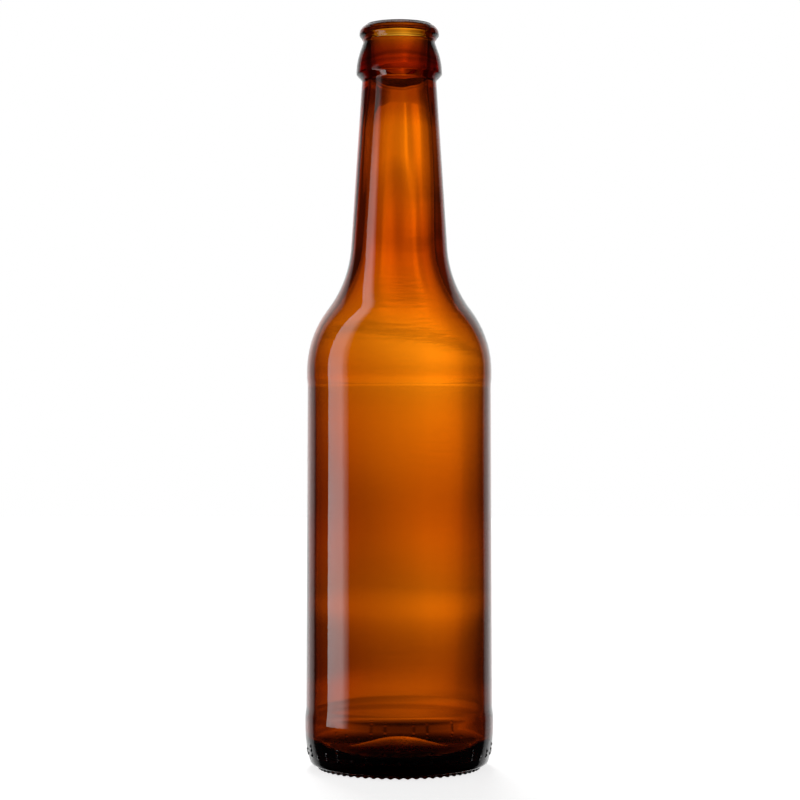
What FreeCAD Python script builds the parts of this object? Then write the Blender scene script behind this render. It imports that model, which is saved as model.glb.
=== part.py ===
import FreeCAD, Part
import math
import os

# A longneck beer bottle: one piece of amber glass, empty, with an open crown-cap mouth.
#
# The glass is a body of revolution about Z. Its outline is drawn in the XZ half-plane,
# where x is the radius, as one closed loop: up the outside from the foot to the lip,
# over the mouth, and down the inside to the bottom.
#
# Lengths are in millimetres. The origin is the centre of the foot ring, on the table.

# --- Driving dimensions: overall -------------------------------------------------------
HEIGHT = 242.6                # table to the top of the lip
BODY_RADIUS = 30.15           # contact band round the foot of the shoulder
BODY_HEIGHT = 129.3           # table to where the shoulder begins to curve in

# --- Crown finish, measured down from the top of the lip -------------------------------
LIP_RADIUS = 13.05            # widest part of the lip that the crown cap grips
LIP_ROUND = 3.45              # rolled outer edge of the lip
LIP_DEPTH = 3.6               # top of the lip to its lower edge
LIP_UNDER_ROUND = 1.0         # lower edge of the lip
GROOVE_INSET = 1.45           # groove under the lip, in from the lip's radius
GROOVE_DEPTH = 5.5            # top of the lip to the bottom of the groove
GROOVE_ROUND = 1.5
COLLAR_OVERHANG = 1.9         # collar, out from the top of the neck
COLLAR_TURN_DEPTH = 12.25     # top of the lip to where the flare turns upright
COLLAR_FLARE_ROUND = 20.4     # long curve of the flare
COLLAR_EDGE_ROUND = 1.3       # lower edge of the collar
FINISH_DEPTH = 17.5           # top of the lip to the underside of the collar
COLLAR_ROOT_ROUND = 0.6       # where the neck meets the underside of the collar

# --- Neck and shoulder -----------------------------------------------------------------
NECK_TOP_RADIUS = 12.12       # just under the collar
NECK_TAPER_DEG = 3.71         # the neck widens downwards by this angle on each side
NECK_ROUND = 37.8             # hollow curve from the neck into the shoulder
SHOULDER_ROUND = 32.65        # full curve from the shoulder into the body

# --- Body and heel ---------------------------------------------------------------------
PANEL_TOP_RECESS = 0.22       # label panel, in from the shoulder's contact band
PANEL_TOP_GAP = 2.6           # shoulder's curve to the upper edge of the panel's step
STEP_HEIGHT = 2.5             # height of the sloping step at each end of the panel
HEEL_STANDOUT = 0.5           # heel's contact band, out from the shoulder's band
PANEL_BOTTOM_RECESS = 0.35    # label panel, in from the heel's contact band
PANEL_BOTTOM_HEIGHT = 19.75   # table to the upper edge of the lower step
STEP_ROUND = 4.0              # soft corners of both steps
HEEL_TURN_HEIGHT = 8.05       # height at which the heel's band turns inwards
HEEL_TAPER_DEG = 15.8         # slope of the turned-in heel, from upright
HEEL_ROUND = 39.0             # long curve from the heel's band into that slope
FOOT_HEIGHT = 1.25            # table to the heel's lower edge, where the ring begins
FOOT_ROUND = 2.0              # the heel's lower edge
RING_INSET = 4.15             # foot ring's outer edge, in from the heel's band
RING_WIDTH = 2.9              # flat ring that the bottle stands on
RING_DRAFT = 0.45             # the ring's outer face leans in this much to its edge
RING_ROUND = 0.5              # the ring's outer edge, and its root under the heel

# --- Glass thickness and inside --------------------------------------------------------
BORE_RADIUS = 8.1             # straight bore of the mouth
MOUTH_ROUND = 1.2             # inner edge of the lip
BORE_DEPTH = 21.0             # top of the lip to the end of the straight bore
THROAT_LENGTH = 12.0          # from the bore's end to where the neck's wall is even
THROAT_ROUND = 14.0
NECK_WALL = 3.0
BODY_WALL = 2.5               # shoulder and body, measured at the shoulder's band
PUNT_HEIGHT = 6.0             # hollow under the bottom, at its centre
PUNT_EDGE_ROUND = 3.0         # foot ring's inner edge
FLOOR_CROWN = 4.0             # glass over the punt, at the centre
FLOOR_EDGE = 4.6              # glass over the foot ring
INNER_HEEL_ROUND = 7.0        # where the inside wall meets the floor


# --- Drawing helpers -------------------------------------------------------------------

def at(radius, height):
    """Point of the outline at this radius and height."""
    return FreeCAD.Vector(radius, 0, height)


def direction(degrees):
    """Unit vector in the XZ plane, turned up from +X."""
    return at(math.cos(math.radians(degrees)), math.sin(math.radians(degrees)))


def arc_edge(centre, radius, start, end):
    """Circular edge about centre from start to end, the short way round."""
    middle = (start + end) * 0.5 - centre
    middle.normalize()
    return Part.Arc(start, centre + middle * radius, end).toShape()


def straight_edges(start, end):
    """One straight edge, or none where the two points meet."""
    if (end - start).Length < 1e-4:
        return []
    return [Part.LineSegment(start, end).toShape()]


def setback(corners, index):
    """Distance from a corner to the ends of its round, and the tangent of half its turn."""
    before = corners[index - 1][0] - corners[index][0]
    after = corners[index + 1][0] - corners[index][0]
    half_turn = (math.pi - before.getAngle(after)) / 2
    return corners[index][1] * math.tan(half_turn), math.tan(half_turn)


def fitted_rounds(corners):
    """Radius of each corner, made smaller where two rounds share too short a side."""
    rounds = [corner[1] for corner in corners]
    inner = range(1, len(corners) - 1)
    reach = [0.0] + [setback(corners, index)[0] for index in inner] + [0.0]
    share = [1.0] * len(corners)
    for index in range(len(corners) - 1):
        side = (corners[index + 1][0] - corners[index][0]).Length
        needed = reach[index] + reach[index + 1]
        if needed > side:
            share[index] = min(share[index], side / needed)
            share[index + 1] = min(share[index + 1], side / needed)
    return [size * part for size, part in zip(rounds, share)]


def rounded_path(corners):
    """Edges through a list of (point, round radius), with an arc at each inner corner."""
    edges = []
    rounds = fitted_rounds(corners)
    here = corners[0][0]
    for index in range(1, len(corners) - 1):
        corner = corners[index][0]
        back = corners[index - 1][0] - corner
        ahead = corners[index + 1][0] - corner
        back.normalize()
        ahead.normalize()
        tangent = setback(corners, index)[1]
        start = corner + back * (rounds[index] * tangent)
        end = corner + ahead * (rounds[index] * tangent)
        towards_centre = back + ahead
        towards_centre.normalize()
        centre = corner + towards_centre * (rounds[index] * math.hypot(1, tangent))
        edges += straight_edges(here, start)
        edges.append(arc_edge(centre, rounds[index], start, end))
        here = end
    return edges + straight_edges(here, corners[-1][0])


# --- Neck line and shoulder curve ------------------------------------------------------

def neck_top_height():
    return HEIGHT - FINISH_DEPTH


def neck_radius(height, wall):
    """Radius of the neck's cone at a height, this far in from its outer face."""
    drop = neck_top_height() - height
    taper = math.radians(NECK_TAPER_DEG)
    return NECK_TOP_RADIUS + drop * math.tan(taper) - wall / math.cos(taper)


def shoulder_curve(body_wall, neck_wall):
    """Two arcs that join the upright body to the neck's cone, tangent at all three joints.

    The lower arc bulges out from the body and the upper one is hollow. The upper centre
    lies on a line beside the neck, where it is as far from the lower centre as the two
    radii together. Returns the edges upwards, with the lowest and highest points.
    """
    bulge = SHOULDER_ROUND - body_wall
    hollow = NECK_ROUND + neck_wall
    lower_centre = at(BODY_RADIUS - SHOULDER_ROUND, BODY_HEIGHT)
    outwards = direction(NECK_TAPER_DEG)
    down = direction(NECK_TAPER_DEG - 90)
    top = neck_top_height()
    beside = at(neck_radius(top, neck_wall), top) + outwards * hollow
    offset = beside - lower_centre
    along = offset.dot(down)
    spare = along ** 2 - offset.dot(offset) + (bulge + hollow) ** 2
    upper_centre = beside + down * (-along - math.sqrt(spare))
    between = upper_centre - lower_centre
    between.normalize()
    lowest = lower_centre + at(bulge, 0)
    middle = lower_centre + between * bulge
    highest = upper_centre - outwards * hollow
    edges = [arc_edge(lower_centre, bulge, lowest, middle)]
    edges.append(arc_edge(upper_centre, hollow, middle, highest))
    return edges, lowest, highest


# --- Foot, floor and punt --------------------------------------------------------------

def dome(edge_centre, edge_round, crown_height):
    """Arc over the axis that is level at the crown and tangent to a round at its edge.

    The round's centre and radius are given. Returns the dome's centre and radius, and
    the point where it meets the round.
    """
    rise = edge_centre.z - crown_height
    radius = (edge_centre.x ** 2 + rise ** 2 - edge_round ** 2) / (2 * (edge_round - rise))
    centre = at(0, crown_height - radius)
    towards_edge = edge_centre - centre
    towards_edge.normalize()
    return centre, radius, centre + towards_edge * radius


def heel_radius():
    return BODY_RADIUS + HEEL_STANDOUT


def ring_radii():
    """Outer and inner radius of the flat foot ring."""
    outer = heel_radius() - RING_INSET
    return outer, outer - RING_WIDTH


def punt_edges():
    """Hollow under the bottom, from the axis out to the foot ring."""
    inner = ring_radii()[1]
    edge_centre = at(inner, PUNT_EDGE_ROUND)
    centre, radius, meeting = dome(edge_centre, PUNT_EDGE_ROUND, PUNT_HEIGHT)
    crown = at(0, PUNT_HEIGHT)
    return [arc_edge(centre, radius, crown, meeting),
            arc_edge(edge_centre, PUNT_EDGE_ROUND, meeting, at(inner, 0))]


def floor_edges():
    """Inside of the bottom, from the wall's lower end in to the axis."""
    wall_radius = BODY_RADIUS - BODY_WALL
    edge_centre = at(wall_radius - INNER_HEEL_ROUND, FLOOR_EDGE + INNER_HEEL_ROUND)
    centre, radius, meeting = dome(edge_centre, INNER_HEEL_ROUND, PUNT_HEIGHT + FLOOR_CROWN)
    wall_end = at(wall_radius, edge_centre.z)
    crown = at(0, PUNT_HEIGHT + FLOOR_CROWN)
    return [arc_edge(edge_centre, INNER_HEEL_ROUND, wall_end, meeting),
            arc_edge(centre, radius, meeting, crown)], wall_end, crown


# --- Outline, piece by piece -----------------------------------------------------------

def body_corners(shoulder_foot):
    """Foot ring, heel, label panel and shoulder band, upwards to the shoulder's curve."""
    ring_outer, ring_inner = ring_radii()
    heel = heel_radius()
    tuck = (HEEL_TURN_HEIGHT - FOOT_HEIGHT) * math.tan(math.radians(HEEL_TAPER_DEG))
    panel_top = BODY_HEIGHT - PANEL_TOP_GAP
    return [(at(ring_inner, 0), 0),
            (at(ring_outer, 0), RING_ROUND),
            (at(ring_outer + RING_DRAFT, FOOT_HEIGHT), RING_ROUND),
            (at(heel - tuck, FOOT_HEIGHT), FOOT_ROUND),
            (at(heel, HEEL_TURN_HEIGHT), HEEL_ROUND),
            (at(heel, PANEL_BOTTOM_HEIGHT - STEP_HEIGHT), STEP_ROUND),
            (at(heel - PANEL_BOTTOM_RECESS, PANEL_BOTTOM_HEIGHT), STEP_ROUND),
            (at(BODY_RADIUS - PANEL_TOP_RECESS, panel_top - STEP_HEIGHT), STEP_ROUND),
            (at(BODY_RADIUS, panel_top), STEP_ROUND),
            (shoulder_foot, 0)]


def finish_corners(neck_outside, neck_inside):
    """Neck, collar, groove, lip, mouth, bore and throat, from outside over to inside.

    On a short neck the throat ends a wall's thickness above the shoulder's curve.
    """
    collar_radius = NECK_TOP_RADIUS + COLLAR_OVERHANG
    under_collar = neck_top_height()
    shortest_neck = neck_inside.z + NECK_WALL
    throat_end = max(HEIGHT - BORE_DEPTH - THROAT_LENGTH, shortest_neck)
    return [(neck_outside, 0),
            (at(NECK_TOP_RADIUS, under_collar), COLLAR_ROOT_ROUND),
            (at(collar_radius, under_collar), COLLAR_EDGE_ROUND),
            (at(collar_radius, HEIGHT - COLLAR_TURN_DEPTH), COLLAR_FLARE_ROUND),
            (at(LIP_RADIUS - GROOVE_INSET, HEIGHT - GROOVE_DEPTH), GROOVE_ROUND),
            (at(LIP_RADIUS, HEIGHT - LIP_DEPTH), LIP_UNDER_ROUND),
            (at(LIP_RADIUS, HEIGHT), LIP_ROUND),
            (at(BORE_RADIUS, HEIGHT), MOUTH_ROUND),
            (at(BORE_RADIUS, HEIGHT - BORE_DEPTH), THROAT_ROUND),
            (at(neck_radius(throat_end, NECK_WALL), throat_end), THROAT_ROUND),
            (neck_inside, 0)]


def bottle():
    """The whole outline turned round the Z axis into one closed solid."""
    outer_shoulder, outer_foot, neck_outside = shoulder_curve(0, 0)
    inner_shoulder, inner_foot, neck_inside = shoulder_curve(BODY_WALL, NECK_WALL)
    floor, wall_end, floor_crown = floor_edges()
    edges = punt_edges()
    edges += rounded_path(body_corners(outer_foot))
    edges += outer_shoulder
    edges += rounded_path(finish_corners(neck_outside, neck_inside))
    edges += inner_shoulder
    edges += straight_edges(inner_foot, wall_end)
    edges += floor
    edges += straight_edges(floor_crown, at(0, PUNT_HEIGHT))
    outline = Part.Wire(Part.sortEdges(edges)[0])
    return Part.Face(outline).revolve(at(0, 0), FreeCAD.Vector(0, 0, 1), 360)


os.makedirs("parts", exist_ok=True)
bottle().exportStep("parts/bottle.step")
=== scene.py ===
# %% [markdown]
# # A longneck beer bottle in amber glass
#
# A beer bottle is one piece of glass. A hot gob is first pressed round a plunger, which makes the
# lip and the mouth, and is then blown out against a mould, which makes everything below them. So
# the outside is crisp and exact, while the inside is whatever the blown glass settled to, and it
# is never quite even. That difference is what makes real glass look like glass.
#
# The CAD model holds the bottle's size and its plain form. This file makes the finished look round
# it: the glass as one closed surface, its colour all through the wall, and the light that shows it.
# Lengths are in millimetres until the mesh is made, and in metres from there on.

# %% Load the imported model
import math

import bpy
import numpy as np
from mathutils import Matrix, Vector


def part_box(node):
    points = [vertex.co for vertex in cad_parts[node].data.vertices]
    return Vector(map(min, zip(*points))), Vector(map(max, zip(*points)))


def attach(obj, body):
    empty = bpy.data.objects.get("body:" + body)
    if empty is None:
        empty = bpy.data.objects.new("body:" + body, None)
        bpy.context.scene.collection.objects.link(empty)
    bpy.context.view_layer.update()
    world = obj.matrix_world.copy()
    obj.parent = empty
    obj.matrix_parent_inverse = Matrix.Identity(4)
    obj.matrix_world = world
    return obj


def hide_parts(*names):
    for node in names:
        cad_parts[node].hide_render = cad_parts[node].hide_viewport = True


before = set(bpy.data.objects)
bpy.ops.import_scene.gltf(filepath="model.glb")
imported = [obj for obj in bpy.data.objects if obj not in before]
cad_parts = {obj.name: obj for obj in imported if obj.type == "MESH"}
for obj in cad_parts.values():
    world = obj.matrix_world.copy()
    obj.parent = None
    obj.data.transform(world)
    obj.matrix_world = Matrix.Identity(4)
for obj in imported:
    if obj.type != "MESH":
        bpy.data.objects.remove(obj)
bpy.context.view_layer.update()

glass_low, glass_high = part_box("bottle")
MM = 0.001
HEIGHT = glass_high.z / MM
HEEL_RADIUS = glass_high.x / MM
print(f"bottle: {HEIGHT:.1f} mm tall, {2 * HEEL_RADIUS:.1f} mm across the heel")

# %% [markdown]
# ## The camera
#
# The bottle is seen from a little below its middle, almost level, and from about three quarters of
# a metre away. From there the eye looks up at the lip and down on the foot, so both show as curves.
# A wide lens close by would fill the frame too, but it would spread the lip and the foot. A long
# lens keeps the tall shape true.

# %% Place the camera
CAMERA_DISTANCE = 0.720
CAMERA_HEIGHT = 0.1106
CAMERA_ASIDE = 0.00026
CAMERA_PITCH_DEG = 0.73
CAMERA_LENS_MM = 99.1

camera = bpy.data.objects.new("camera", bpy.data.cameras.new("camera"))
camera.location = (CAMERA_ASIDE, -CAMERA_DISTANCE, CAMERA_HEIGHT)
camera.rotation_euler = (math.radians(90 + CAMERA_PITCH_DEG), 0, 0)
camera.data.lens = CAMERA_LENS_MM
camera.data.clip_start = 0.01
camera.data.clip_end = 20
bpy.context.collection.objects.link(camera)
bpy.context.scene.camera = camera
print(f"camera {CAMERA_DISTANCE / MM:.0f} mm away, {CAMERA_LENS_MM:.0f} mm lens")

# %% [markdown]
# ## Drawing an outline
#
# A bottle is turned on one axis, so all of its form is in one outline: radius against height. The
# outline is straight runs joined by round corners, and two long tangent arcs at the shoulder. It
# could be drawn by hand as a curve, but worked out from its sizes it can be changed by one number.
# The helpers return points about a twentieth of a millimetre apart. That is far closer than the
# mesh needs, because the mesh picks its own rows from them later.

# %% Straight runs, arcs and rounded corners
FINE = 0.05


def run(start, end):
    """Points from start to end: start plus the way to end, times 0 to 1 in even steps."""
    start, end = np.asarray(start, float), np.asarray(end, float)
    count = max(2, int(np.linalg.norm(end - start) / FINE))
    share = np.linspace(0, 1, count)[:, None]
    return start + (end - start) * share


def arc(centre, radius, start_angle, end_angle):
    """Points on a circle: the centre plus the radius times cosine and sine of even angles."""
    count = max(4, int(abs(end_angle - start_angle) * radius / FINE))
    angle = np.linspace(start_angle, end_angle, count)
    return np.asarray(centre) + radius * np.stack([np.cos(angle), np.sin(angle)], axis=1)


def arc_between(centre, start, end):
    """The shorter arc about a centre: from the first point's angle, by less than half a turn."""
    a, b = np.asarray(start) - centre, np.asarray(end) - centre
    first = math.atan2(a[1], a[0])
    turn = (math.atan2(b[1], b[0]) - first + math.pi) % (2 * math.pi) - math.pi
    return arc(centre, np.linalg.norm(a), first, first + turn)


def rounded(corners):
    """A path through (radius, height, rounding) corners.

    Each corner is cut back along both of its sides by the rounding times the tangent of half
    its turn, and an arc of that rounding joins the two cuts.
    """
    points = np.array([corner[:2] for corner in corners], float)
    here, path = points[0], []
    for index in range(1, len(corners) - 1):
        corner = points[index]
        back = (points[index - 1] - corner) / np.linalg.norm(points[index - 1] - corner)
        ahead = (points[index + 1] - corner) / np.linalg.norm(points[index + 1] - corner)
        half_turn = (math.pi - math.acos(np.clip(back @ ahead, -1, 1))) / 2
        setback = corners[index][2] * math.tan(half_turn)
        middle = (back + ahead) / np.linalg.norm(back + ahead)
        centre = corner + middle * corners[index][2] / math.cos(half_turn)
        start, end = corner + back * setback, corner + ahead * setback
        path += [run(here, start), arc_between(centre, start, end)]
        here = end
    return np.concatenate(path + [run(here, points[-1])])


# %% [markdown]
# ## The shoulder
#
# The body runs into the neck over an S-curve: a full arc below and a hollow arc above. They meet
# where both have the same slope, so no edge shows in the highlights. The lower centre sits beside
# the top of the body. The upper one slides on a line beside the neck's cone until it is as far
# from the lower centre as the two radii together, which is a quadratic in how far it slides.

# %% Neck line and shoulder curve
BODY_RADIUS = HEEL_RADIUS - 0.5
BODY_HEIGHT = 129.3
SHOULDER_ROUND = 32.65
NECK_ROUND = 37.8
NECK_TOP = HEIGHT - 17.5
NECK_TOP_RADIUS = 12.12
NECK_TAPER = math.radians(3.71)


def neck_radius(height, wall):
    """Radius of the neck's cone at a height, a wall's thickness in from its outer face.

    The radius at the neck's top, plus the way down times the taper's tangent, less the wall
    measured square to the cone.
    """
    outer = NECK_TOP_RADIUS + (NECK_TOP - height) * math.tan(NECK_TAPER)
    return outer - wall / math.cos(NECK_TAPER)


def shoulder(body_wall, neck_wall):
    """Points up the S-curve, a wall's thickness in from the outer face.

    The wall makes the lower arc's radius smaller and the upper one's larger. They meet on the
    line between their centres, which is shared out as their radii.
    """
    bulge, hollow = SHOULDER_ROUND - body_wall, NECK_ROUND + neck_wall
    lower = np.array([BODY_RADIUS - SHOULDER_ROUND, BODY_HEIGHT])
    outwards = np.array([math.cos(NECK_TAPER), math.sin(NECK_TAPER)])
    down = np.array([math.sin(NECK_TAPER), -math.cos(NECK_TAPER)])
    beside = np.array([neck_radius(NECK_TOP, neck_wall), NECK_TOP]) + outwards * hollow
    offset = beside - lower
    along = offset @ down
    upper = beside - down * (along + math.sqrt(along**2 - offset @ offset + (bulge + hollow) ** 2))
    meeting = lower + (upper - lower) * bulge / (bulge + hollow)
    foot, head = lower + np.array([bulge, 0]), upper - outwards * hollow
    return np.concatenate([arc_between(lower, foot, meeting), arc_between(upper, meeting, head)])


outer_shoulder = shoulder(0, 0)
print(f"shoulder from {outer_shoulder[0, 1]:.1f} to {outer_shoulder[-1, 1]:.1f} mm up")

# %% [markdown]
# ## The whole outline
#
# The loop starts on the axis under the bottle and crosses the hollow bottom (the punt) to the
# foot ring. It climbs the heel, the label panel, the shoulder, the neck, the collar and the lip,
# turns over the mouth, and comes down the inside to the floor. The label panel lies a few tenths
# of a millimetre deeper than the two bands beside it, so the bottles in a crate touch only at the
# bands and the label isn't rubbed.

# %% The punt
FOOT_RING_OUTER = HEEL_RADIUS - 4.15
FOOT_RING_INNER = FOOT_RING_OUTER - 2.9
PUNT_HEIGHT = 6.0
PUNT_EDGE_ROUND = 3.0


def dome(edge_centre, edge_round, crown):
    """Arc from the axis, level at its crown, to where it touches the round at its edge.

    Its radius puts its centre as far from the edge's centre as the two radii together.
    """
    rise = edge_centre[1] - crown
    radius = (edge_centre[0] ** 2 + rise**2 - edge_round**2) / (2 * (edge_round - rise))
    centre = np.array([0, crown - radius])
    towards = (edge_centre - centre) / np.linalg.norm(edge_centre - centre)
    return arc_between(centre, np.array([0, crown]), centre + towards * radius)


punt_edge = np.array([FOOT_RING_INNER, PUNT_EDGE_ROUND])
punt = dome(punt_edge, PUNT_EDGE_ROUND, PUNT_HEIGHT)
punt_rim = arc_between(punt_edge, punt[-1], np.array([FOOT_RING_INNER, 0]))
print(f"punt {PUNT_HEIGHT:.0f} mm deep, {2 * FOOT_RING_INNER:.1f} mm across")

# %% Foot, heel, panel and shoulder band
FOOT_HEIGHT = 1.25
FOOT_DRAFT = 0.45
HEEL_TURN = 8.05
HEEL_SLOPE = math.radians(15.8)
HEEL_TUCK = (HEEL_TURN - FOOT_HEIGHT) * math.tan(HEEL_SLOPE)
PANEL_FOOT = 19.75
PANEL_FOOT_STEP = 2.5
PANEL_FOOT_DEPTH = 0.35
PANEL_TOP = BODY_HEIGHT - 3.4
PANEL_TOP_HALF_STEP = 0.9
PANEL_TOP_DEPTH = 0.22

# Each corner is its radius, its height and its rounding.
body = rounded([
    (FOOT_RING_INNER, 0, 0),
    (FOOT_RING_OUTER, 0, 0.5),
    (FOOT_RING_OUTER + FOOT_DRAFT, FOOT_HEIGHT, 0.5),
    (HEEL_RADIUS - HEEL_TUCK, FOOT_HEIGHT, 2.0),
    (HEEL_RADIUS, HEEL_TURN, 39.0),
    (HEEL_RADIUS, PANEL_FOOT - PANEL_FOOT_STEP, 4.0),
    (HEEL_RADIUS - PANEL_FOOT_DEPTH, PANEL_FOOT, 4.0),
    (BODY_RADIUS - PANEL_TOP_DEPTH, PANEL_TOP - PANEL_TOP_HALF_STEP, 2.0),
    (BODY_RADIUS, PANEL_TOP + PANEL_TOP_HALF_STEP, 2.0),
    (BODY_RADIUS, BODY_HEIGHT, 0),
])
print(f"foot ring {2 * FOOT_RING_OUTER:.1f} mm across, body {2 * BODY_RADIUS:.1f} mm")

# %% [markdown]
# ## The finish
#
# Glassmakers call the top of a bottle its finish, because it was once the last part to be made.
# The lip is what the crown cap crimps on, and the flared collar under it gives the opener and the
# capping machine something to hold. They are one more path of rounded corners, which goes on over
# the mouth and down the bore, because a lathe would cut them in the same way.

# %% Neck, collar, lip, mouth and throat
BODY_WALL = 2.5
NECK_WALL = 3.0
COLLAR_RADIUS = NECK_TOP_RADIUS + 1.9
COLLAR_FOOT = NECK_TOP - 0.9
COLLAR_UNDERCUT = 2.0
COLLAR_FLARE = HEIGHT - 12.25
GROOVE_DEPTH = 1.45
GROOVE = HEIGHT - 5.5
LIP_RADIUS = 13.05
LIP_FOOT = HEIGHT - 3.6
BORE_RADIUS = 8.6
MOUTH_RADIUS = 9.7
BORE_END = HEIGHT - 21.0
THROAT_END = BORE_END - 12.0

inner_shoulder = shoulder(BODY_WALL, NECK_WALL)
finish = rounded([
    (*outer_shoulder[-1], 0),
    (NECK_TOP_RADIUS + 0.05, COLLAR_FOOT, 0.15),
    (COLLAR_RADIUS, COLLAR_FOOT + COLLAR_UNDERCUT, 0.9),
    (COLLAR_RADIUS, COLLAR_FLARE, 20.4),
    (LIP_RADIUS - GROOVE_DEPTH, GROOVE, 1.5),
    (LIP_RADIUS, LIP_FOOT, 0.6),
    (LIP_RADIUS, HEIGHT, 3.35),
    (MOUTH_RADIUS, HEIGHT, 1.2),
    (BORE_RADIUS, BORE_END, 14.0),
    (neck_radius(THROAT_END, NECK_WALL), THROAT_END, 14.0),
    (*inner_shoulder[-1], 0),
])
print(f"collar {2 * COLLAR_RADIUS:.1f} mm and lip {2 * LIP_RADIUS:.1f} mm across")

# %% Inside wall and floor, and the loop joined up
FLOOR_EDGE = 4.6
FLOOR_CROWN = 10.0
INNER_HEEL_ROUND = 7.0
SAME_POINT = 1e-4

wall_radius = BODY_RADIUS - BODY_WALL
floor_edge = np.array([wall_radius - INNER_HEEL_ROUND, FLOOR_EDGE + INNER_HEEL_ROUND])
floor_dome = dome(floor_edge, INNER_HEEL_ROUND, FLOOR_CROWN)[::-1]
wall_foot = np.array([wall_radius, floor_edge[1]])
inside = np.concatenate([
    inner_shoulder[::-1],
    run(inner_shoulder[0], wall_foot),
    arc_between(floor_edge, wall_foot, floor_dome[0]),
    floor_dome,
])
loop = np.concatenate([punt, punt_rim, body, outer_shoulder, finish, inside])
loop = loop[np.r_[True, np.linalg.norm(np.diff(loop, axis=0), axis=1) > SAME_POINT]]
print(f"outline of {len(loop)} points")

# %% [markdown]
# ## Rows where the shape needs them
#
# A turned surface needs close rows where its outline bends hard, as at the lip, and few where it
# is straight. Even rows would be simpler, but fine enough for the lip they would waste thousands of
# faces on the neck. So the spacing of rows follows the outline's own curvature: each row may turn
# by a few degrees at most, between a smallest and a largest step. The heel and the two seams on the
# lip are the exceptions. They carry fine relief, so their rows stay close whatever the outline does.

# %% Pick the rows
TURN_PER_ROW = math.radians(6.0)
SMALLEST_STEP = 0.14
LARGEST_STEP = 2.4
RELIEF_STEP = 0.36
RELIEF_TOP = 10.6
RELIEF_INSIDE = FOOT_RING_INNER - 1.2
BEND_OVER = 0.3
SPACING_OVER = 1.0
SEAM_HEIGHTS = (HEIGHT - 2.1, HEIGHT - 4.8)
SEAM_HALF = 0.3

steps = np.linalg.norm(np.diff(loop, axis=0), axis=1)
station = np.r_[0, np.cumsum(steps)]
along = np.arange(0, station[-1], FINE)
dense = np.stack([np.interp(along, station, loop[:, k]) for k in (0, 1)], axis=1)
heading = np.unwrap(np.arctan2(np.gradient(dense[:, 1]), np.gradient(dense[:, 0])))


def smoothed(values, width):
    """Running mean over a width in millimetres along the outline."""
    count = max(1, int(width / FINE)) // 2 * 2 + 1
    padded = np.pad(values, count // 2, mode="edge")
    return np.convolve(padded, np.ones(count) / count, mode="valid")


bend = np.abs(smoothed(np.gradient(heading, FINE), BEND_OVER))
spacing = np.clip(TURN_PER_ROW / np.maximum(bend, 1e-6), SMALLEST_STEP, LARGEST_STEP)
outside_end = np.argmax(dense[:, 1])
on_outside = np.arange(len(dense)) < outside_end
relief = (dense[:, 0] > RELIEF_INSIDE) & (dense[:, 1] < RELIEF_TOP) & on_outside
spacing[relief] = np.minimum(spacing[relief], RELIEF_STEP)
for seam_height in SEAM_HEIGHTS:
    near_seam = (np.abs(dense[:, 1] - seam_height) < 2 * SEAM_HALF) & on_outside
    spacing[near_seam] = SMALLEST_STEP
spacing = 1 / smoothed(1 / spacing, SPACING_OVER)
row_count = np.r_[0, np.cumsum(FINE / spacing)][:-1]
rows = np.interp(np.arange(0, row_count[-1], 1.0), row_count, along)
print(f"{len(rows)} rows along {station[-1]:.0f} mm of outline")

# %% [markdown]
# ## What the mould leaves on the outside
#
# Three kinds of fine relief are pushed along the surface's own outward direction. A bump texture
# would be cheaper, but it can't change the outline of the foot, and these do.
#
# - Knurls: short radial grooves across the foot ring. The hot bottle rides on their tops along
#   the conveyor, so the bearing surface itself never gets scratched.
# - Dots: small raised points round the heel, in columns of one to three. Real bottles carry such
#   dots for sorting. These follow a plain repeating count and mean nothing.
# - Ring seams: two hair-fine ridges round the lip, where the rings of the mould closed.

# %% Knurls, dots and ring seams
KNURLS = 60
KNURL_DEPTH = 0.45
KNURLS_EASE_IN = (FOOT_RING_INNER - 0.6, FOOT_RING_INNER + 0.5)
KNURLS_EASE_OUT = (0.5 * FOOT_HEIGHT, FOOT_HEIGHT)
DOT_COLUMNS = 36
DOT_RADIUS = 0.55
DOT_HEIGHT = 0.38
DOT_LOWEST = 5.3
DOT_PITCH = 1.5
MOST_DOTS = 3
SEAM_DEPTH = 0.07


def ease(value, low, high):
    """0 below low, 1 above high, and an S between: the share squared, times three less twice it."""
    share = np.clip((value - low) / (high - low), 0, 1)
    return share * share * (3 - 2 * share)


def knurls(angle, radius, height):
    """Grooves: a cosine round the ring, cut below its tops, eased in and out past its faces."""
    groove = 0.5 - 0.5 * np.cos(KNURLS * angle)
    ring = ease(radius, *KNURLS_EASE_IN) * (1 - ease(height, *KNURLS_EASE_OUT))
    return -KNURL_DEPTH * groove * ring


def dots(angle, height):
    """Raised points: each column has one, two or three domes, one less their distance squared."""
    column = np.round(angle / (2 * math.pi) * DOT_COLUMNS)
    across = (angle - column * 2 * math.pi / DOT_COLUMNS) * HEEL_RADIUS
    level = np.clip(np.round((height - DOT_LOWEST) / DOT_PITCH), 0, MOST_DOTS - 1)
    upward = height - DOT_LOWEST - level * DOT_PITCH
    present = level <= column % MOST_DOTS
    away = np.sqrt(across**2 + upward**2) / DOT_RADIUS
    return DOT_HEIGHT * present * np.maximum(1 - away**2, 0)


def ring_seams(height):
    """Fine ridges round the lip: a smooth cap at each seam's height."""
    nearest = np.min([np.abs(height - seam) for seam in SEAM_HEIGHTS], axis=0)
    return SEAM_DEPTH * (1 - ease(nearest, 0, SEAM_HALF))


print(f"{KNURLS} knurls and {DOT_COLUMNS} columns of dots")

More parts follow.
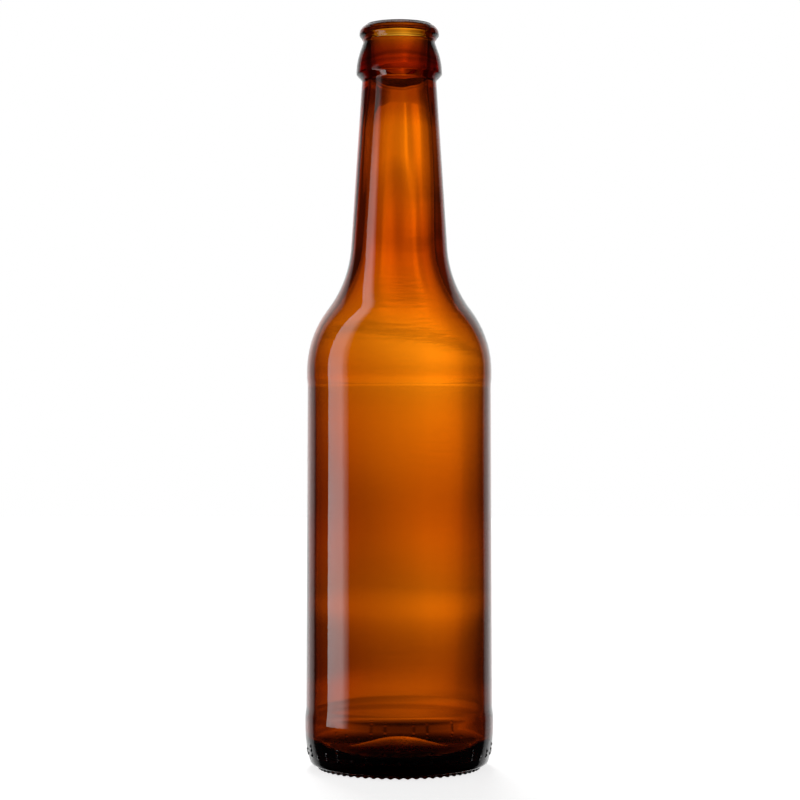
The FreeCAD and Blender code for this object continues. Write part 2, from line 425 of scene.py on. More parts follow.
# %% [markdown]
# ## How the blown inside settled
#
# The inside never touched a mould. It is uneven by some tenths of a millimetre, and each slope in
# it bends the light that comes through into a streak or a band. Noise could stand for that, but
# blown glass isn't noisy: it has a few long, soft forms, so each has its own formula here.
#
# - Waves: slow swells all over the wall. The outside has them too, but six times weaker.
# - Streaks: narrow ridges that run up the neck.
# - A run: one thicker trickle down the front, from the neck into the shoulder.
# - The settled thickness: a little more or less glass at each height, the same all round.
# - A lean: the hollow sits a little to the right of the outside, and in the shoulder a little to
#   the left.

# %% Waves, streaks and the run
INNER_SWELL = 0.12
OUTER_SWELL = 0.02
STREAK_DEPTH = 0.045
STREAKS_EASE_IN = (BODY_HEIGHT + 12, BODY_HEIGHT + 40)
RUN_ANGLE = math.radians(268)
RUN_WIDTH = math.radians(15)
RUN_DEPTH = 0.48
RUN_EASES_IN = (BODY_HEIGHT + 8, BODY_HEIGHT + 32)
RUN_EASES_OUT = (BODY_HEIGHT + 48, BODY_HEIGHT + 72)


def waves(angle, height, swell):
    """Slow swells: three cosines round the wall, each leaning and drifting with height."""
    turn = height / HEIGHT * 2 * math.pi
    broad = np.cos(2 * angle + 1.1 * turn + 0.6)
    narrow = np.cos(3 * angle - 2.3 * turn + 2.1)
    ripple = np.cos(5 * angle + 3.7 * turn + 4.0)
    return swell * (0.5 * broad + 0.3 * narrow + 0.2 * ripple)


def streaks(angle, height):
    """Streaks up the neck: two cosines with many turns, drifting slowly with height."""
    in_neck = ease(height, *STREAKS_EASE_IN)
    turn = height / HEIGHT * 2 * math.pi
    coarse = np.cos(9 * angle - 0.9 * turn + 2)
    fine = np.cos(14 * angle - 1.7 * turn + 1)
    return STREAK_DEPTH * in_neck * (coarse + 0.6 * fine)


def run_down(angle, height):
    """The thick run: a bell across its width, e to the minus the square, eased in and out."""
    aside = (angle - RUN_ANGLE) / RUN_WIDTH
    reach = ease(height, *RUN_EASES_IN) * (1 - ease(height, *RUN_EASES_OUT))
    return RUN_DEPTH * reach * np.exp(-(aside**2))


print(f"the run stands {RUN_DEPTH} mm off the inside of a {NECK_WALL:.0f} mm wall")

# %% Settled thickness and lean
HOLLOW_TO_RIGHT = 0.2
SHOULDER_TO_LEFT = 0.34
LEAN_EASES_IN = (131, 147)
LEAN_EASES_OUT = (166, 190)
SETTLE_OVER = 14.0

# Extra glass, in millimetres, at heights from the floor of the bottle to its mouth.
SETTLED_AT = [12, 28, 54, 81, 113, 121, 128, 140, 157, 171, 188, 200, 213]
SETTLED_BY = [0.0, 0.30, -0.15, 0.34, 0.08, 0.0, -0.3, -0.5, -0.1, 0.15, -0.3, -0.5, -0.5]


def lean(angle, height):
    """Shift of the whole hollow: less glass by its way to the right, times the angle's cosine."""
    in_shoulder = ease(height, *LEAN_EASES_IN) * (1 - ease(height, *LEAN_EASES_OUT))
    return -(HOLLOW_TO_RIGHT - SHOULDER_TO_LEFT * in_shoulder) * np.cos(angle)


settled = smoothed(np.interp(dense[:, 1], SETTLED_AT, SETTLED_BY), SETTLE_OVER)
print(f"the wall is {settled.min():.2f} to {settled.max():+.2f} mm off its drawn thickness")

# %% [markdown]
# ## Turning the outline into glass
#
# The rows are carried round the axis as one grid of radius, height and angle. The heel gets three
# times as many columns as the rest, so that its knurls and dots are round. Where the two grids
# meet, each wide face is split to take three narrow ones. The loop starts and ends on the axis, so
# a fan of triangles closes each end and the glass is one sealed volume. Refraction needs that: the
# renderer must know where the glass starts and stops.

# %% Place the grid's points
DOTS_FROM = 3.5
OUTER_SHIFT = 40
THROAT_EASES_IN = (8, 30)
WALL_EASES_IN = (12, 30)
COLLAR_EASES_OUT = (NECK_TOP - 12, NECK_TOP)

inside_start = along[outside_end]
tangent = np.stack([np.cos(heading), np.sin(heading)], axis=1)


def grid(stations, columns):
    """Points in metres for the rows at these stations, turned through all columns.

    A point is (radius, height), moved along the outline's normal by the relief there, and
    then carried round the axis by its column's angle.
    """
    radius, height = (np.interp(stations, along, dense[:, k])[:, None] for k in (0, 1))
    slope = [np.interp(stations, along, tangent[:, k])[:, None] for k in (0, 1)]
    length = np.hypot(*slope)
    normal_out, normal_up = slope[1] / length, -slope[0] / length
    angle = (np.arange(columns) * 2 * math.pi / columns)[None, :]

    inner = ease(stations - inside_start, *THROAT_EASES_IN)[:, None]
    off_floor = ease(height, *WALL_EASES_IN)
    below_collar = 1 - ease(height, *COLLAR_EASES_OUT)
    lift = waves(angle, height, INNER_SWELL) + streaks(angle, height) + run_down(angle, height)
    lift = lift + np.interp(stations, along, settled)[:, None] + lean(angle, height)
    lift = lift * inner * off_floor
    outer_waves = waves(angle, height + OUTER_SHIFT, OUTER_SWELL)
    lift = lift + outer_waves * (1 - inner) * off_floor * below_collar

    outside = (stations < inside_start)[:, None]
    lift = lift + outside * (height < 2 * FOOT_HEIGHT) * knurls(angle, radius, height)
    lift = lift + outside * (height > DOTS_FROM) * (height < RELIEF_TOP) * dots(angle, height)
    lift = lift + outside * ring_seams(height)

    ring_radius = radius + lift * normal_out
    ring_height = height + lift * normal_up
    x, y = ring_radius * np.cos(angle), ring_radius * np.sin(angle)
    return np.stack([x, y, ring_height + 0 * angle], axis=2) * MM


print(f"the inside starts {inside_start:.0f} mm along the outline")

# %% Join the points into faces
COLUMNS = 204
RELIEF_COLUMNS = 3 * COLUMNS


def band(first, row_total, columns):
    """Quads between neighbouring rows of one grid, wound so that they face out of the glass.

    A point's number is the first one's, plus its row times the columns, plus its column.
    """
    row = np.arange(row_total - 1)[:, None] * columns + first
    here = np.arange(columns)[None, :]
    after = (here + 1) % columns
    corners = (row + here, row + after, row + columns + after, row + columns + here)
    return np.stack(corners, axis=2).reshape(-1, 4)


def seam(wide, narrow, narrow_is_later):
    """Four triangles for each wide face, from one wide edge to its three narrow ones."""
    j = np.arange(COLUMNS)
    c0, c1 = wide + j, wide + (j + 1) % COLUMNS
    f0, f1, f2 = (narrow + 3 * j + k for k in range(3))
    f3 = narrow + (3 * j + 3) % RELIEF_COLUMNS
    faces = [(c0, f1, f0), (c0, f2, f1), (c0, c1, f2), (c1, f3, f2)]
    if not narrow_is_later:
        faces = [face[::-1] for face in faces]
    return np.concatenate([np.stack(face, axis=1) for face in faces])


def fan(pole, ring, columns, pole_is_later):
    """Triangles from a pole on the axis to the ring round it."""
    here = ring + np.arange(columns)
    after = ring + (np.arange(columns) + 1) % columns
    order = (here, after) if pole_is_later else (after, here)
    return np.stack([*order, np.full(columns, pole)], axis=1)


print(f"{COLUMNS} columns round the bottle, {RELIEF_COLUMNS} round its heel")

# %% Build the bottle
row_height = np.interp(rows, along, dense[:, 1])
row_radius = np.interp(rows, along, dense[:, 0])
in_relief = (row_radius > RELIEF_INSIDE) & (row_height < RELIEF_TOP) & (rows < inside_start)
first_relief, last_relief = np.flatnonzero(in_relief)[[0, -1]]
under = grid(rows[1:first_relief], COLUMNS)
foot = grid(rows[first_relief : last_relief + 1], RELIEF_COLUMNS)
above = grid(rows[last_relief + 1 : -1], COLUMNS)
poles = np.array([[0, 0, PUNT_HEIGHT], [0, 0, FLOOR_CROWN]]) * MM
points = np.concatenate([under.reshape(-1, 3), foot.reshape(-1, 3), above.reshape(-1, 3), poles])

foot_first = under.shape[0] * COLUMNS
above_first = foot_first + foot.shape[0] * RELIEF_COLUMNS
poles_first = above_first + above.shape[0] * COLUMNS
quads = np.concatenate([
    band(0, under.shape[0], COLUMNS),
    band(foot_first, foot.shape[0], RELIEF_COLUMNS),
    band(above_first, above.shape[0], COLUMNS),
])
triangles = np.concatenate([
    seam(foot_first - COLUMNS, foot_first, True),
    seam(above_first, above_first - RELIEF_COLUMNS, False),
    fan(poles_first, 0, COLUMNS, False),
    fan(poles_first + 1, poles_first - COLUMNS, COLUMNS, True),
])
mesh = bpy.data.meshes.new("bottle_glass")
mesh.from_pydata(points.tolist(), [], quads.tolist() + triangles.tolist())
mesh.shade_smooth()
bottle = bpy.data.objects.new("bottle_glass", mesh)
bpy.context.collection.objects.link(bottle)
print(f"{2 * len(quads) + len(triangles)} triangles in the glass")

# %% Hang it on the frame
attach(bottle, "root")
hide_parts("bottle")
print(f"{bottle.name} stands in for the CAD bottle")

# %% [markdown]
# ## Amber glass
#
# The colour of bottle glass is in its depth: iron and sulphur take out nearly all of the blue and
# most of the green, a little more with each millimetre. A brown surface would be the quick way, but
# it would be the same brown in the thin neck and in the thick foot. So the surface stays colourless
# and a Volume Absorption node does the work. Thick places, such as the collar and the heel, then
# turn dark brown by themselves, and the thin crest of the lip glows yellow.

# %% Make the glass
GLASS_IOR = 1.52
WHITE = (1.0, 1.0, 1.0, 1.0)
AMBER_SEEN_THROUGH = (0.9133, 0.6933, 0.0)
AMBER_DENSITY = 1500.0

glass = bpy.data.materials.new("amber_glass")
glass.use_nodes = True
nodes, links = glass.node_tree.nodes, glass.node_tree.links
surface = nodes["Principled BSDF"]
surface.inputs["Base Color"].default_value = WHITE
surface.inputs["Transmission Weight"].default_value = 1.0
surface.inputs["IOR"].default_value = GLASS_IOR
depth = nodes.new("ShaderNodeVolumeAbsorption")
depth.inputs["Color"].default_value = (*AMBER_SEEN_THROUGH, 1.0)
depth.inputs["Density"].default_value = AMBER_DENSITY
links.new(depth.outputs["Volume"], nodes["Material Output"].inputs["Volume"])
mesh.materials.append(glass)
print(f"glass bends light by {GLASS_IOR} and takes its colour from {AMBER_DENSITY:.0f} per metre")

# %% [markdown]
# ## Ripples and scuffs
#
# Two small things keep the surface from looking like plastic. The skin of blown glass has fine
# ripples that lie level round the shoulder, where it stretched fast and froze. And bottles rub
# against each other in the crate on two bands, one above the panel and one below, and stand on
# their feet, which leaves short level scratches there. All this is too fine for the mesh. It could
# be drawn on an image and wrapped round, but noise in the material has no seam, and squeezed flat
# it gives marks that run round the bottle. A grey ramp over the height says where they are.

# %% Noise that lies level
place = nodes.new("ShaderNodeTexCoord").outputs["Object"]
level_out = nodes.new("ShaderNodeSeparateXYZ")
links.new(place, level_out.inputs[0])


def level_noise(fineness, flatness, detail):
    """Noise over object coordinates, squeezed in height by the flatness."""
    squeeze = nodes.new("ShaderNodeMapping")
    squeeze.inputs["Scale"].default_value = (fineness, fineness, fineness * flatness)
    links.new(place, squeeze.inputs["Vector"])
    noise = nodes.new("ShaderNodeTexNoise")
    noise.inputs["Scale"].default_value = 1.0
    noise.inputs["Detail"].default_value = detail
    links.new(squeeze.outputs["Vector"], noise.inputs["Vector"])
    return noise.outputs["Fac"]


def at_height(stops):
    """A smooth grey ramp up the bottle, from (height in mm, amount) stops, lowest first."""
    share = nodes.new("ShaderNodeMapRange")
    share.inputs["From Max"].default_value = HEIGHT * MM
    links.new(level_out.outputs["Z"], share.inputs["Value"])
    blend = nodes.new("ShaderNodeValToRGB")
    blend.color_ramp.interpolation = "EASE"
    marks = blend.color_ramp.elements
    marks[0].position = stops[0][0] / HEIGHT
    marks[1].position = stops[-1][0] / HEIGHT
    for height, _ in stops[1:-1]:
        marks.new(height / HEIGHT)
    for mark, (_, amount) in zip(marks, stops):
        mark.color = (amount, amount, amount, 1)
    links.new(share.outputs[0], blend.inputs["Fac"])
    return blend.outputs["Color"]


def product(first, second):
    """Two sockets multiplied."""
    node = nodes.new("ShaderNodeMath")
    node.operation = "MULTIPLY"
    links.new(first, node.inputs[0])
    links.new(second, node.inputs[1])
    return node.outputs[0]


print("noise and a ramp over the height are ready")

# %% Ripples round the shoulder
RIPPLE_FINENESS = 60.0
RIPPLE_FLATNESS = 9.0
RIPPLE_DETAIL = 3.0
RIPPLE_HEIGHT = 0.00004

ripple_where = at_height([
    (0, 0.1), (70, 0.1), (122, 0.35), (138, 1.0), (152, 0.5), (175, 0.15), (242, 0.15),
])
ripples = product(level_noise(RIPPLE_FINENESS, RIPPLE_FLATNESS, RIPPLE_DETAIL), ripple_where)
bump = nodes.new("ShaderNodeBump")
bump.inputs["Distance"].default_value = RIPPLE_HEIGHT
links.new(ripples, bump.inputs["Height"])
links.new(bump.outputs["Normal"], surface.inputs["Normal"])
print(f"ripples {RIPPLE_HEIGHT / MM:.2f} mm high at most, strongest in the shoulder")

# %% Scratches on the two bands and the foot
SCUFF_FINENESS = 260.0
SCUFF_FLATNESS = 5.0
SCUFF_DETAIL = 5.0
SCUFF_FROM = 0.56
SCUFF_FULL = 0.72
SCUFF_ROUGHNESS = 0.16
BAND_WEAR = 0.25
FOOT_WEAR = 0.3

scuff_where = at_height([
    (0, FOOT_WEAR), (3, FOOT_WEAR), (6, 0.05), (9, BAND_WEAR), (17, BAND_WEAR), (20, 0.0),
    (126, 0.0), (129, BAND_WEAR), (133, BAND_WEAR), (138, 0.0), (242, 0.0),
])
scratches = nodes.new("ShaderNodeMapRange")
scratches.inputs["From Min"].default_value = SCUFF_FROM
scratches.inputs["From Max"].default_value = SCUFF_FULL
scratches.inputs["To Max"].default_value = SCUFF_ROUGHNESS
links.new(level_noise(SCUFF_FINENESS, SCUFF_FLATNESS, SCUFF_DETAIL), scratches.inputs["Value"])
scuffs = product(scratches.outputs[0], scuff_where)
print(f"scratches reach a roughness of {SCUFF_ROUGHNESS * BAND_WEAR:.2f} on the bands")

# %% [markdown]
# ## The stippled bottom
#
# The mould stipples the hollow under the bottle, so it is matt inside the foot ring and scatters
# the little light that gets there. It could have a material of its own. But the glass is one closed
# surface, and one volume goes with one material, so this material turns rough where a point is both
# low enough and near enough to the axis.

# %% Matt inside the foot ring
STIPPLE_ROUGHNESS = 0.4
STIPPLE_MARGIN = 0.1


def below(value, limit):
    """1 where the socket is less than the limit."""
    node = nodes.new("ShaderNodeMath")
    node.operation = "LESS_THAN"
    links.new(value, node.inputs[0])
    node.inputs[1].default_value = limit
    return node.outputs[0]


flat_place = nodes.new("ShaderNodeVectorMath")
flat_place.operation = "MULTIPLY"
flat_place.inputs[1].default_value = (1, 1, 0)
links.new(place, flat_place.inputs[0])
from_axis = nodes.new("ShaderNodeVectorMath")
from_axis.operation = "LENGTH"
links.new(flat_place.outputs[0], from_axis.inputs[0])
low_enough = below(level_out.outputs["Z"], (PUNT_HEIGHT + STIPPLE_MARGIN) * MM)
near_enough = below(from_axis.outputs["Value"], (FOOT_RING_INNER - STIPPLE_MARGIN) * MM)
matt = nodes.new("ShaderNodeMath")
matt.operation = "MULTIPLY_ADD"
links.new(product(low_enough, near_enough), matt.inputs[0])
matt.inputs[1].default_value = STIPPLE_ROUGHNESS
links.new(scuffs, matt.inputs[2])
links.new(matt.outputs[0], surface.inputs["Roughness"])
print(f"roughness {STIPPLE_ROUGHNESS} under the bottle")

# %% [markdown]
# ## The floor
#
# Apart from its colour, glass has almost no look of its own. It shows what lies behind it and
# mirrors what stands round it, so the room is part of the picture. The floor comes first: a pale
# sheet that glows a little, so that it stays near white and still takes the bottle's shadow. A
# curved paper sweep would do as well, but a flat sheet is enough, because the glass doesn't see the
# floor. What it does see are the cards and the world that follow.

# %% Lay the floor
FLOOR_HALF = 2.0
FLOOR_PALE = (0.95, 0.95, 0.95, 1.0)
FLOOR_ROUGHNESS = 0.9
FLOOR_GLOW = 0.8


def studio_piece(name, points, faces, met_by):
    """A piece of the studio from its points and faces, met only by the kinds of ray named."""
    shape = bpy.data.meshes.new(name)
    shape.from_pydata(points, [], faces)
    piece = bpy.data.objects.new(name, shape)
    bpy.context.collection.objects.link(piece)
    for kind in ("camera", "diffuse", "glossy", "transmission", "shadow"):
        setattr(piece, "visible_" + kind, kind in met_by)
    return piece


floor_corners = [(-FLOOR_HALF, -FLOOR_HALF, 0), (FLOOR_HALF, -FLOOR_HALF, 0),
                 (FLOOR_HALF, FLOOR_HALF, 0), (-FLOOR_HALF, FLOOR_HALF, 0)]
floor = studio_piece("floor", floor_corners, [(0, 1, 2, 3)], ("camera", "diffuse", "shadow"))
paper = bpy.data.materials.new("floor_paper")
paper.use_nodes = True
sheet = paper.node_tree.nodes["Principled BSDF"]
sheet.inputs["Base Color"].default_value = FLOOR_PALE
sheet.inputs["Roughness"].default_value = FLOOR_ROUGHNESS
sheet.inputs["Emission Color"].default_value = WHITE
sheet.inputs["Emission Strength"].default_value = FLOOR_GLOW
floor.data.materials.append(paper)
print(f"floor {2 * FLOOR_HALF:.0f} m across")

# %% [markdown]
# ## Painted shade under the bottle: a graded card
#
# The light in the heel and the foot ring comes from below, and a bottle on a bright table would
# glow there. The glass doesn't meet the floor, so this card is painted shade in its place: the
# floor as the glass would see it, dark in the bottle's shadow round the foot, which keeps the foot
# deep and heavy. A plain dark disc would show its hard edge through the glass, so this one is a disc
# of light that is black to just past the foot and grows brighter towards its rim, painted light for
# the floor lit farther out. Only rays that pass through glass meet it.

# %% Lay the painted shade card
CARD_RADIUS = 0.068
PAINTED_SHADE_TO = 0.036
PAINTED_FLOOR_LIGHT = 0.42
CARD_SIDES = 96
CARD_DROP = 0.0002


def glow_on(piece, name):
    """Make a piece glow white; returns the node tree and the socket that takes the strength."""
    material = bpy.data.materials.new(name)
    material.use_nodes = True
    tree = material.node_tree
    tree.nodes.clear()
    glow = tree.nodes.new("ShaderNodeEmission")
    glow.inputs["Color"].default_value = WHITE
    output = tree.nodes.new("ShaderNodeOutputMaterial")
    tree.links.new(glow.outputs[0], output.inputs["Surface"])
    piece.data.materials.append(material)
    return tree, glow.inputs["Strength"]


card_turn = np.arange(CARD_SIDES) * 2 * math.pi / CARD_SIDES
card_rim = np.stack([np.cos(card_turn), np.sin(card_turn), 0 * card_turn], axis=1) * CARD_RADIUS
card_rim = card_rim - [0, 0, CARD_DROP]
# Painted shade: black in the middle, where the floor lies in the bottle's shadow, and glowing brighter
# out to the rim.
card = studio_piece("painted_shade_card", card_rim.tolist(), [list(range(CARD_SIDES))], ("transmission",))
tree, strength = glow_on(card, "painted_shade_grade")
middle_out = tree.nodes.new("ShaderNodeVectorMath")
middle_out.operation = "LENGTH"
tree.links.new(tree.nodes.new("ShaderNodeTexCoord").outputs["Object"], middle_out.inputs[0])
brighten = tree.nodes.new("ShaderNodeMapRange")
brighten.interpolation_type = "SMOOTHSTEP"
brighten.inputs["From Min"].default_value = PAINTED_SHADE_TO
brighten.inputs["From Max"].default_value = CARD_RADIUS
brighten.inputs["To Max"].default_value = PAINTED_FLOOR_LIGHT
tree.links.new(middle_out.outputs["Value"], brighten.inputs["Value"])
tree.links.new(brighten.outputs[0], strength)
print(f"card {2 * CARD_RADIUS / MM:.0f} mm across, dark for {2 * PAINTED_SHADE_TO / MM:.0f} mm")

# %% [markdown]
# ## The room as the glass sees it
#
# Behind the bottle hangs a wide sheet of light. It is brightest a little right of the middle and
# falls off to the sides, above and below, and the glass turns that into its soft stripes and
# bands. A real sheet with lamps behind it would need many samples to render clean. Here the world
# itself is the sheet: one smooth curve gives a brightness over the bearing of a direction, another
# over its elevation, and the two are multiplied.

# %% Maths and curves as nodes
def math_node(tree, operation, first, second=None):
    """A Math node fed by sockets or numbers; returns its output."""
    node = tree.nodes.new("ShaderNodeMath")
    node.operation = operation
    for socket, value in zip(node.inputs, (first, second)):
        if isinstance(value, bpy.types.NodeSocket):
            tree.links.new(value, socket)
        elif value is not None:
            socket.default_value = value
    return node.outputs[0]


def ramp(tree, value, stops):
    """A smooth curve through (position, brightness) stops, lowest first, from 0 to 1."""
    node = tree.nodes.new("ShaderNodeFloatCurve")
    node.mapping.extend = "HORIZONTAL"
    node.mapping.use_clip = False
    curve = node.mapping.curves[0]
    for point, stop in zip(curve.points, (stops[0], stops[-1])):
        point.location = stop
    for stop in stops[1:-1]:
        curve.points.new(*stop)
    for point in curve.points:
        point.handle_type = "AUTO_CLAMPED"
    node.mapping.update()
    tree.links.new(value, node.inputs["Value"])
    return node.outputs[0]


print("sums and smooth curves are ready as nodes")

# %% Bearing and elevation of a direction
world = bpy.data.worlds.new("studio")
bpy.context.scene.world = world
world.use_nodes = True
room = world.node_tree
room.nodes.clear()

direction = room.nodes.new("ShaderNodeTexCoord").outputs["Generated"]
split = room.nodes.new("ShaderNodeSeparateXYZ")
room.links.new(direction, split.inputs[0])
elevation = math_node(room, "ARCSINE", split.outputs["Z"])
elevation = math_node(room, "ADD", math_node(room, "DIVIDE", elevation, math.pi), 0.5)
bearing = math_node(room, "ARCTAN2", split.outputs["X"], split.outputs["Y"])
bearing = math_node(room, "ADD", math_node(room, "DIVIDE", bearing, 2 * math.pi), 0.5)


def over_elevation(stops):
    """Brightness over (degrees above the horizon, brightness) stops, from -90 to 90."""
    return ramp(room, elevation, [(degrees / 180 + 0.5, level) for degrees, level in stops])


def over_bearing(stops):
    """Brightness over (degrees right of straight behind, brightness) stops, from -180 to 180."""
    return ramp(room, bearing, [(degrees / 360 + 0.5, level) for degrees, level in stops])


print(f"{len(room.nodes)} nodes turn a direction into its bearing and elevation")

# %% What is seen through the glass
# Bright right behind the bottle, dim at its sides, and bright again towards the camera.
through_across = over_bearing([
    (-180, 0.9), (-86, 0.9), (-76, 0.12), (-54, 0.1), (-38, 0.25), (-31, 0.32), (-22, 0.58),
    (-15, 0.7), (-11, 0.74), (-8, 0.86), (-4, 0.92), (-2.6, 0.95), (-1.3, 1.12), (0, 1.33),
    (2.2, 1.62), (3.2, 1.56), (4.5, 1.32), (6, 0.98), (8, 0.84), (11, 0.7), (15, 0.46),
    (24, 0.26), (38, 0.28), (54, 0.1), (76, 0.12), (86, 0.9), (180, 0.9),
])
# Dark below, soft bands round the horizon, and dark above.
through_upward = over_elevation([
    (-90, 0.05), (-40, 0.07), (-30, 0.1), (-19, 0.45), (-11, 0.62), (-8, 0.4), (-6.4, 0.56),
    (-4.8, 0.86), (-3.4, 0.6), (-2.6, 0.66), (-0.8, 0.98), (0.7, 1.14), (2.8, 1.28),
    (4.5, 0.86), (6.2, 1.26), (9.5, 1.28), (12, 1.12), (15, 0.82), (22, 0.66), (31, 0.5),
    (38, 0.3), (46, 0.02), (90, 0.02),
])
seen_through = math_node(room, "MULTIPLY", through_across, through_upward)
print("the sheet of light behind the bottle is up")

# %% What is mirrored in the glass
# A sheet about 100 degrees wide behind the bottle. It draws pale lines down both sides.
mirrored_across = over_bearing([
    (-180, 0.01), (-53, 0.01), (-50, 0.15), (-45, 0.42), (-35, 0.65), (-20, 0.97),
    (20, 0.97), (35, 0.65), (45, 0.42), (50, 0.15), (53, 0.01), (180, 0.01),
])
mirrored_upward = over_elevation([(-90, 0), (-36, 0), (-20, 1), (90, 1)])
mirrored = math_node(room, "MULTIPLY", mirrored_across, mirrored_upward)
print(f"{len(room.nodes)} nodes make the room")

# %% [markdown]
# ## A card behind the mouth
#
# The lip and the collar are thick rings of glass, and the narrow bore makes them a strong lens that
# looks a long way to each side. With only the room behind it the collar would have the same stripes
# as the neck. A narrow card close behind it gives it a light of its own, bright in the middle and
# dark to the sides. A second sheet in the world couldn't do this, because the world is endlessly far
# away and can't stand behind the mouth alone.

# %% Stand the mouth card
MOUTH_CARD_BEHIND = 0.06
MOUTH_CARD_HALF = 0.05
MOUTH_CARD_LOW, MOUTH_CARD_HIGH = 0.2308, 0.2415

mouth_corners = [(-MOUTH_CARD_HALF, MOUTH_CARD_BEHIND, MOUTH_CARD_LOW),
                 (MOUTH_CARD_HALF, MOUTH_CARD_BEHIND, MOUTH_CARD_LOW),
                 (MOUTH_CARD_HALF, MOUTH_CARD_BEHIND, MOUTH_CARD_HIGH),
                 (-MOUTH_CARD_HALF, MOUTH_CARD_BEHIND, MOUTH_CARD_HIGH)]
mouth_card = studio_piece("mouth_card", mouth_corners, [(0, 1, 2, 3)], ("transmission",))
tree, strength = glow_on(mouth_card, "mouth_card_grade")
card_place = tree.nodes.new("ShaderNodeSeparateXYZ")
tree.links.new(tree.nodes.new("ShaderNodeTexCoord").outputs["Generated"], card_place.inputs[0])
dusk_across = ramp(tree, card_place.outputs["X"], [
    (0, 0.03), (0.2, 0.1), (0.38, 0.42), (0.46, 0.85), (0.52, 1.0), (0.58, 1.0), (0.63, 0.85),
    (0.8, 0.35), (1, 0.1),
])
dusk_upward = ramp(tree, card_place.outputs["Z"], [
    (0, 1.0), (0.12, 0.8), (0.3, 0.6), (0.5, 0.5), (1, 0.75),
])
tree.links.new(math_node(tree, "MULTIPLY", dusk_across, dusk_upward), strength)
print(f"mouth card {(MOUTH_CARD_HIGH - MOUTH_CARD_LOW) / MM:.1f} mm high")

# %% [markdown]
# ## Which ray sees what
#
# One world has to serve four purposes. The camera sees plain white, rays that went through the
# glass see the banded sheet, mirrored rays see the plain sheet, and everything else gets a faint
# even fill. Separate lamps could be limited in the same way one by one, but the Light Path node
# tells the kinds of ray apart in one place.

# %% Choose by the kind of ray
FILL = 0.1

path = room.nodes.new("ShaderNodeLightPath")


def choose(switch, yes, no):
    """yes where the switch is 1 and no where it is 0: no plus the switch times the difference."""
    difference = math_node(room, "SUBTRACT", yes, no)
    return math_node(room, "ADD", no, math_node(room, "MULTIPLY", switch, difference))


level = choose(path.outputs["Is Glossy Ray"], mirrored, FILL)
level = choose(path.outputs["Is Transmission Ray"], seen_through, level)
level = choose(path.outputs["Is Camera Ray"], 1.0, level)
backdrop = room.nodes.new("ShaderNodeBackground")
backdrop.inputs["Color"].default_value = WHITE
room.links.new(level, backdrop.inputs["Strength"])
room.links.new(backdrop.outputs[0], room.nodes.new("ShaderNodeOutputWorld").inputs["Surface"])
print(f"fill of {FILL} from all round")

# %% [markdown]
# ## A soft sun from behind
#
# The bottle stands in front of its light, so its shadow falls towards the camera. An area lamp
# would light the floor in a patch. A sun lights all of it alike, and a wide angle makes it soft.
# The glass neither mirrors it nor shows it, so it only lights the floor and draws the shadow.

# %% Hang the sun
SUN_BRIGHTNESS = 0.72
SUN_SOFTNESS_DEG = 14.0
SUN_ELEVATION_DEG = 65.0
SUN_TO_LEFT_DEG = 8.0

lamp = bpy.data.lights.new("sun_behind", "SUN")
lamp.energy = SUN_BRIGHTNESS
lamp.angle = math.radians(SUN_SOFTNESS_DEG)
sun = bpy.data.objects.new("sun_behind", lamp)
sun.rotation_euler = (math.radians(SUN_ELEVATION_DEG - 90), 0, math.radians(SUN_TO_LEFT_DEG))
sun.visible_glossy = False
sun.visible_transmission = False
bpy.context.collection.objects.link(sun)
print(f"sun {SUN_ELEVATION_DEG:.0f} degrees up, {SUN_TO_LEFT_DEG:.0f} degrees left of straight behind")

# %% [markdown]
# ## The strip light to the left
#
# One long highlight runs down the left of the bottle, and nothing says glass as clearly. It is
# the mirror image of a narrow silk-covered light close by. An area lamp would do for a straight
# bottle, but this highlight has to follow the shoulder into the neck, fade out towards the lip and
# end cleanly above the heel. So the light is a mesh strip that leans with the neck, met by mirrored
# rays only, and its own map says how bright each part of it is.

# %% Bend the strip
STRIP_LOW, STRIP_HIGH = 0.0065, 0.2345
STRIP_ROWS = 40
STRIP_WIDENING = 1.25
STRIP_PIVOT = 0.1
STRIP_SPAN = 0.25
BACK_EDGE_AT, BACK_EDGE_LEAN = (-0.0779, -0.0109), (0.3008, -0.0453)
FRONT_EDGE_AT, FRONT_EDGE_LEAN = (-0.0658, -0.0407), (0.2956, 0.1272)


def strip_edge(height, pivot_at, leaning):
    """Points up a leaning edge: its place at the pivot, plus its lean times the way from there."""
    rise = (height - STRIP_PIVOT)[:, None]
    across = np.asarray(pivot_at) + np.asarray(leaning) * rise
    return np.concatenate([across, height[:, None]], axis=1)


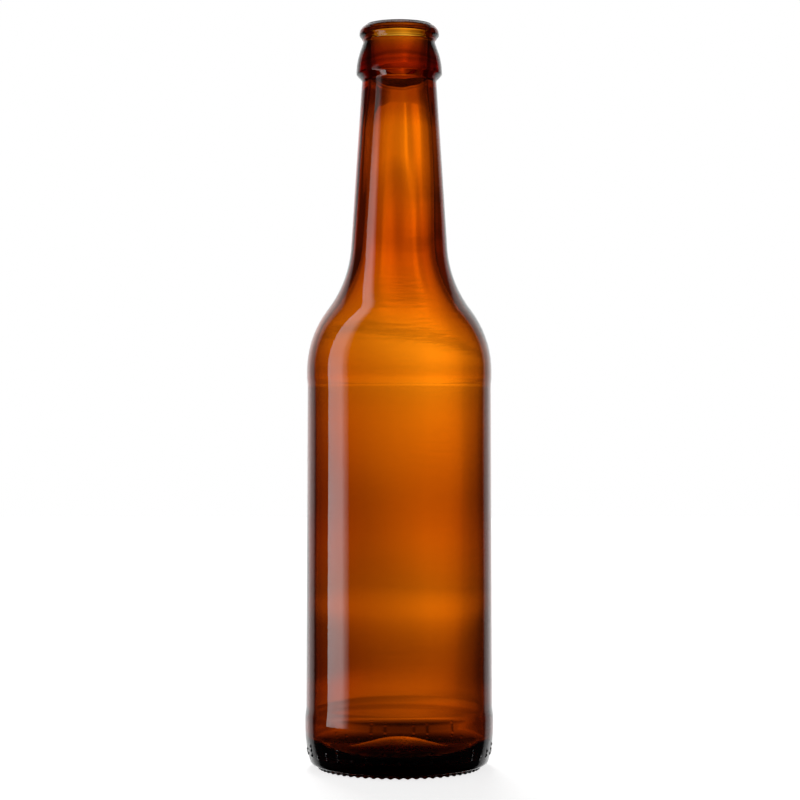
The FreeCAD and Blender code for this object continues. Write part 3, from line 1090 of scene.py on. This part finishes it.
strip_height = np.linspace(STRIP_LOW, STRIP_HIGH, STRIP_ROWS)
strip_back = strip_edge(strip_height, BACK_EDGE_AT, BACK_EDGE_LEAN)
strip_front = strip_edge(strip_height, FRONT_EDGE_AT, FRONT_EDGE_LEAN)
strip_front = strip_back + (strip_front - strip_back) * STRIP_WIDENING
strip_points = np.concatenate([strip_back, strip_front])
strip_row = np.arange(STRIP_ROWS - 1)
strip_faces = np.stack([strip_row, strip_row + 1, strip_row + 1 + STRIP_ROWS,
                        strip_row + STRIP_ROWS], axis=1)
strip = studio_piece("strip_light", strip_points.tolist(), strip_faces.tolist(), ("glossy",))

# The map holds 0 at the back edge to 1 at the front, and the height as a share of the span.
strip_uv = strip.data.uv_layers.new(name="strip")
corner = np.empty(len(strip.data.loops), int)
strip.data.loops.foreach_get("vertex_index", corner)
strip_map = np.stack([corner // STRIP_ROWS, strip_points[corner, 2] / STRIP_SPAN], axis=1)
strip_uv.data.foreach_set("uv", strip_map.ravel())
print(f"strip {(STRIP_HIGH - STRIP_LOW) / MM:.0f} mm tall in {STRIP_ROWS - 1} faces")

# %% Its brightness over width and height
tree, strength = glow_on(strip, "strip_silk")
strip_place = tree.nodes.new("ShaderNodeUVMap")
strip_place.uv_map = "strip"
strip_split = tree.nodes.new("ShaderNodeSeparateXYZ")
tree.links.new(strip_place.outputs["UV"], strip_split.inputs[0])
over_width = ramp(tree, strip_split.outputs["X"], [(0, 1), (0.6, 1), (0.8, 0.5), (1, 0)])

# Brightness at heights in millimetres: full on the panel, fading out up the neck.
silk = [(5, 2.6), (16.5, 2.8), (45, 3.4), (80, 3.4), (100, 3.0), (120, 2.65), (138, 2.4),
        (153, 2.0), (180, 2.3), (200, 2.0), (210, 1.47), (220, 1.1), (230, 0.8), (235, 0.1)]
over_height = ramp(tree, strip_split.outputs["Y"],
                   [(height * MM / STRIP_SPAN, level) for height, level in silk])
tree.links.new(math_node(tree, "MULTIPLY", over_width, over_height), strength)
print(f"silk {max(level for _, level in silk)} times white at its brightest")

# %% [markdown]
# ## Showing it
#
# The Standard view keeps colours as they are lit. The glass must not outgrow the part.

# %% Set the view and finish
bpy.context.scene.view_settings.view_transform = "Standard"
